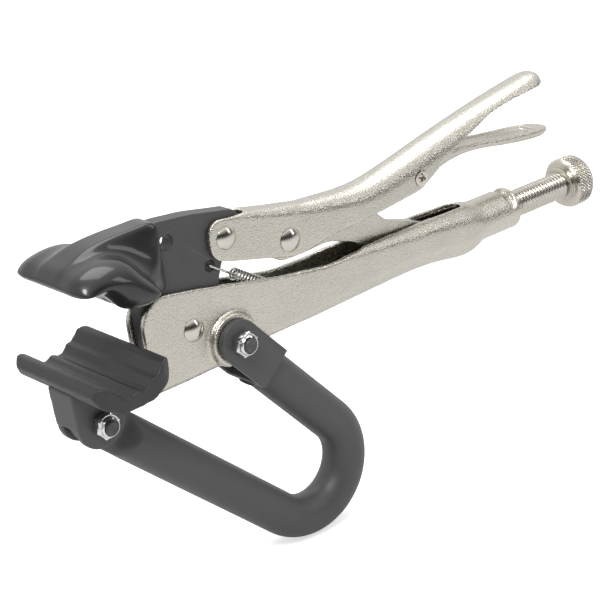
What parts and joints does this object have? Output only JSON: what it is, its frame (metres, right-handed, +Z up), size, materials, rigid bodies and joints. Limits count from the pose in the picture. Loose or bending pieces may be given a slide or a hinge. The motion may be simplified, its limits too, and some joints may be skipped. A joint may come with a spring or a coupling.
{
  "type": "locking pliers",
  "caption": "Locking pliers with a toggle lever, a release lever, an adjusting screw, a coated saddle jaw and a swivelling pad on a U-shaped arm.",
  "frame": {"origin": "on the ground plane under the middle of the tool's box, with the tool upright as it is held", "axes": "+X along the adjusting screw towards the knob, +Z up on the lever's side, +Y across along the pivots"},
  "size_m": [0.2354, 0.048, 0.1341],
  "materials": {
    "nickel": "satin nickel plate over a fine grained pressed sheet",
    "bright_rivet": "bright nickel",
    "jaw_black": "satin black oxide",
    "dip_coat": "glossy dipped vinyl",
    "arm_black": "matte black powder coat",
    "pad_rubber": "matte moulded rubber",
    "zinc": "bright zinc",
    "screw_steel": "nickel plated steel",
    "spring_wire": "bright spring wire"
  },
  "bodies": {
    "handle": {"fixed_handle": "nickel", "spring_tab": "nickel", "main_rivet": "bright_rivet", "jaw_spring": "spring_wire"},
    "jaw": {"jaw_plate": "jaw_black", "jaw_wings": "jaw_black", "jaw_coating": "dip_coat"},
    "lever": {"lever_handle": "nickel", "lever_rivet": "bright_rivet", "link_rivet": "bright_rivet", "release_pin": "bright_rivet"},
    "link": {"toggle_link": "nickel"},
    "release": {"release_lever": "nickel"},
    "screw": {"adjusting_screw": "screw_steel"},
    "knob": {"adjusting_knob": "screw_steel"},
    "arm": {"arm_clevis": "arm_black", "arm_bar": "arm_black", "arm_weld": "arm_black", "arm_bolt": "zinc", "arm_nut": "zinc"},
    "pad": {"pad_bracket": "arm_black", "pad_cover": "pad_rubber", "pad_bolt": "zinc", "pad_nut": "zinc"}
  },
  "joints": [
    {"name": "jaw_pivot", "type": "hinge", "parent": "handle", "child": "jaw", "pos_m": [-0.06634, 0, 0.09199], "axis": [0, 1, 0], "range_deg": [0, 20], "deforming": ["jaw_spring"]},
    {"name": "lever_pivot", "type": "hinge", "parent": "jaw", "child": "lever", "pos_m": [-0.04874, 0, 0.11799], "axis": [0, 1, 0], "range_deg": [-70.18, 0]},
    {"name": "link_pivot", "type": "hinge", "parent": "lever", "child": "link", "pos_m": [-0.02323, 0, 0.10909], "axis": [0, 1, 0], "range_deg": [0, 65]},
    {"name": "release_pivot", "type": "hinge", "parent": "lever", "child": "release", "pos_m": [0.03436, 0, 0.11369], "axis": [0, 1, 0], "range_deg": [-12.2, 0]},
    {"name": "screw_travel", "type": "slide", "parent": "handle", "child": "screw", "axis": [1, 0, 0], "range_m": [0, 0.009]},
    {"name": "knob_turn", "type": "hinge", "parent": "screw", "child": "knob", "pos_m": [0.11367, 0, 0.08709], "axis": [1, 0, 0], "range_deg": [0, 2170]},
    {"name": "arm_pivot", "type": "hinge", "parent": "handle", "child": "arm", "pos_m": [-0.05194, 0, 0.08379], "axis": [0, 1, 0], "range_deg": [-7, 9]},
    {"name": "pad_pivot", "type": "hinge", "parent": "arm", "child": "pad", "pos_m": [-0.10633, 0, 0.07479], "axis": [0, 1, 0], "range_deg": [-25, 2]}
  ],
  "couplings": [
    {"joint": "lever_pivot", "follows": "jaw_pivot", "ratio": -3.484},
    {"joint": "link_pivot", "follows": "jaw_pivot", "ratio": 3.225},
    {"joint": "release_pivot", "follows": "jaw_pivot", "ratio": -0.6},
    {"joint": "knob_turn", "follows": "screw_travel", "rad_per_m": 4188.8}
  ]
}
